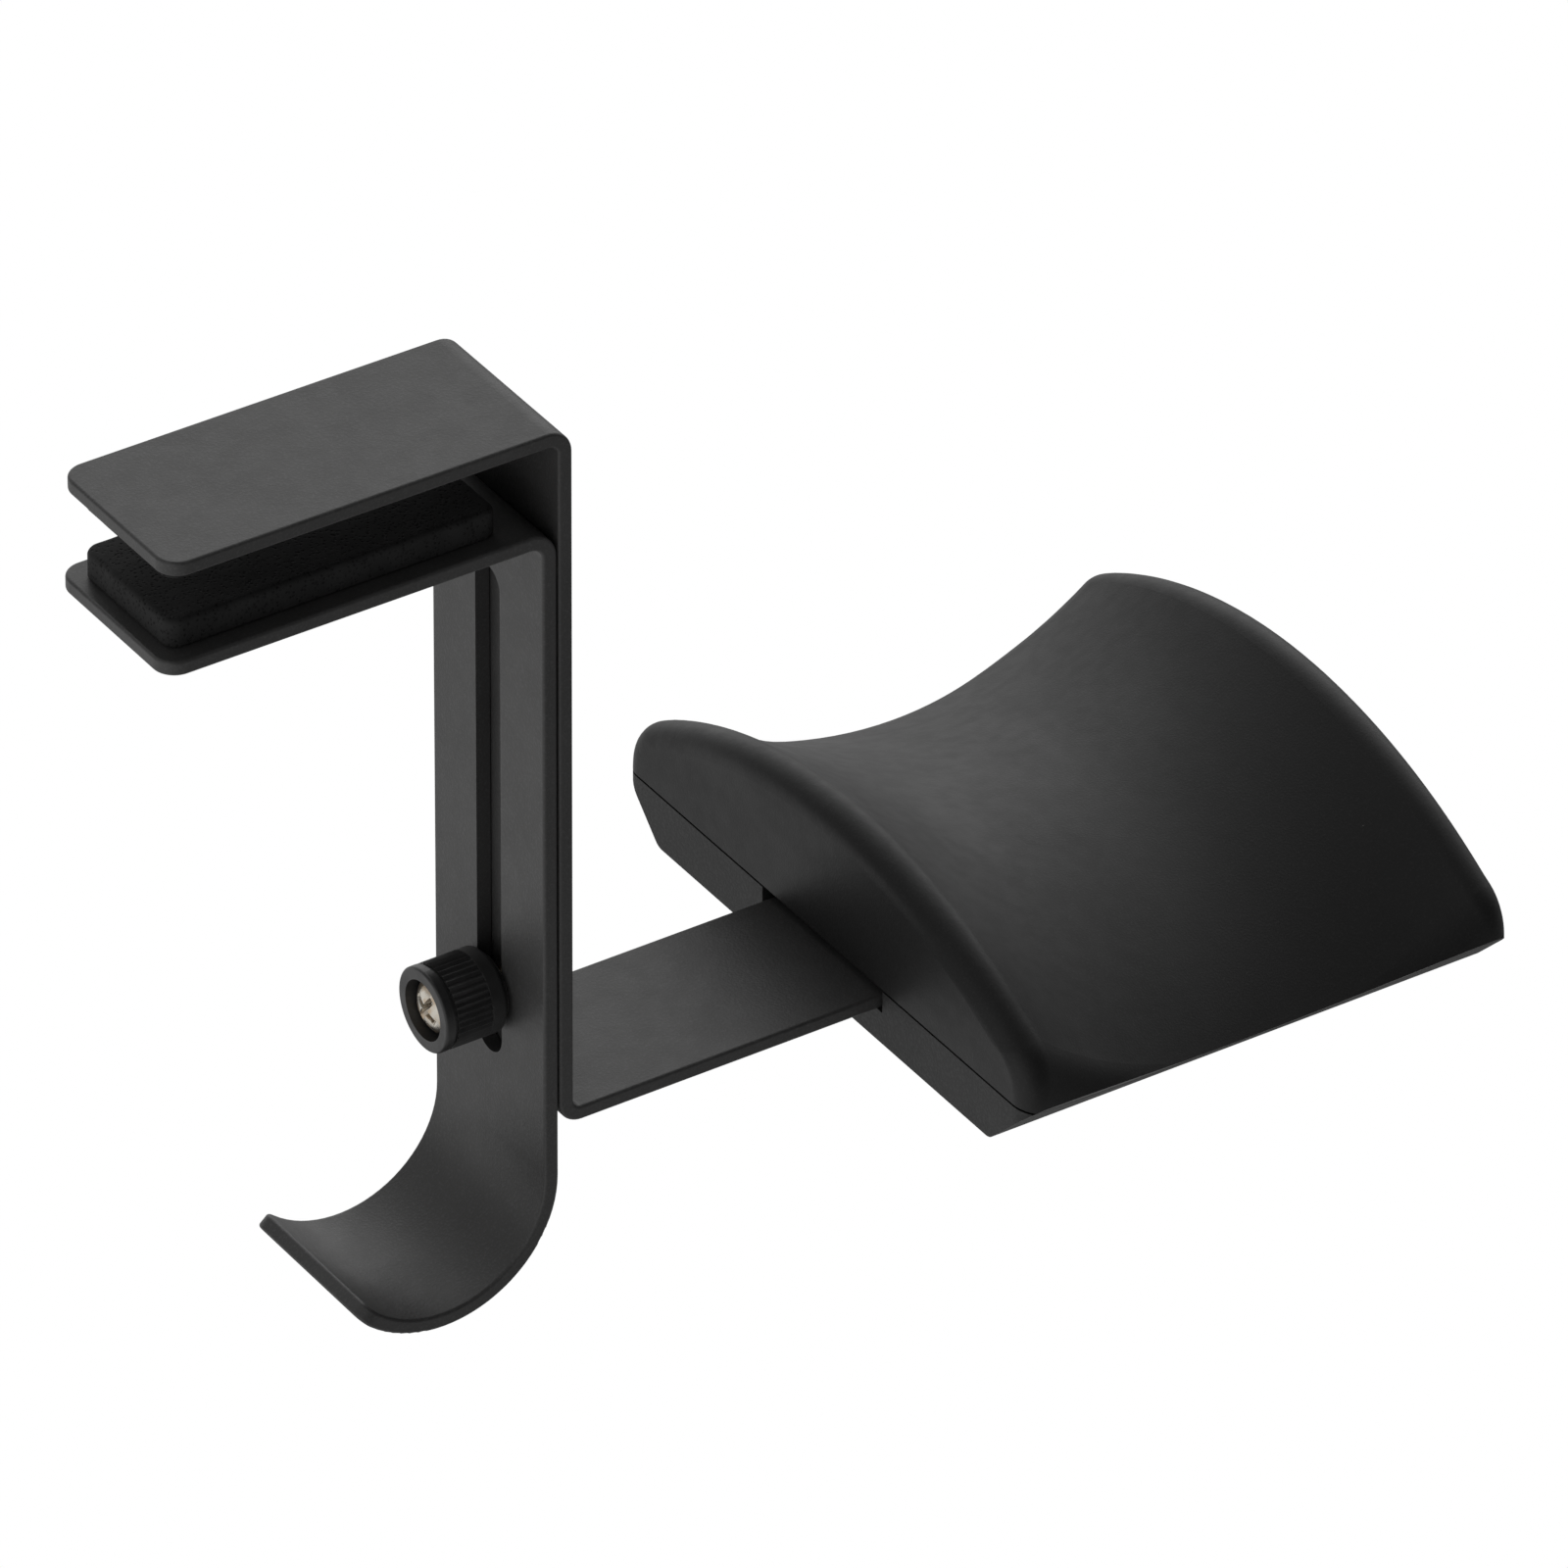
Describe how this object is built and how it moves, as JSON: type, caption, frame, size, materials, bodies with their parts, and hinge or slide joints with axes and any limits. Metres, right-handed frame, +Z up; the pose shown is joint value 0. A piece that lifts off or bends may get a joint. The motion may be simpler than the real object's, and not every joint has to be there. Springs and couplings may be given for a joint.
{
  "type": "headphone hook",
  "caption": "Desk-edge clamp bent from black steel strip, with a sliding slotted jaw and J hook locked by a thumb screw, and an arm carrying a dished saddle for a headband.",
  "frame": {"origin": "centre of the upper pad's underside, where it rests on the desk top", "axes": "+Z up, +X from the clamp towards the saddle, +Y across the strips"},
  "size_m": [0.1734, 0.0904, 0.1245],
  "materials": {
    "powder_coat": "satin fine-texture black powder coat on steel",
    "shell_plastic": "soft matte black moulding",
    "base_plastic": "fine-textured matte black moulding",
    "foam_pad": "closed-cell black foam rubber",
    "adhesive_tape": "double-sided tape",
    "knob_plastic": "moulded black nylon, straight knurl",
    "plated_screw": "nickel plated, slightly warm",
    "plated_nut": "zinc plated",
    "black_washer": "black oxide",
    "tapping_screw": "black zinc plated"
  },
  "bodies": {
    "clamp_frame": {"outer_bracket": "powder_coat", "clinch_nut": "plated_nut", "upper_jaw_pad": "foam_pad", "upper_pad_tape": "adhesive_tape", "saddle_shell": "shell_plastic", "saddle_base": "base_plastic", "arm_screw_1": "tapping_screw", "arm_screw_2": "tapping_screw", "base_screw_1": "tapping_screw", "base_screw_2": "tapping_screw", "base_screw_3": "tapping_screw", "base_screw_4": "tapping_screw"},
    "sliding_hook": {"hook_bracket": "powder_coat", "lower_jaw_pad": "foam_pad", "lower_pad_tape": "adhesive_tape"},
    "screw_washer": {"knob_washer": "black_washer"},
    "clamp_knob": {"thumb_knob": "knob_plastic", "thumb_screw": "plated_screw"}
  },
  "joints": [
    {"name": "hook_slide", "type": "slide", "parent": "clamp_frame", "child": "sliding_hook", "axis": [0, 0, 1], "range_m": [-0.058, 0.0055]},
    {"name": "knob_advance", "type": "slide", "parent": "clamp_frame", "child": "screw_washer", "axis": [-1, 0, 0], "range_m": [0, 0.0021]},
    {"name": "knob_turn", "type": "hinge", "parent": "screw_washer", "child": "clamp_knob", "pos_m": [0.0179, 0, -0.0826], "axis": [-1, 0, 0], "range_deg": [0, 1080]}
  ],
  "couplings": [
    {"joint": "knob_turn", "follows": "knob_advance", "rad_per_m": 8976}
  ]
}
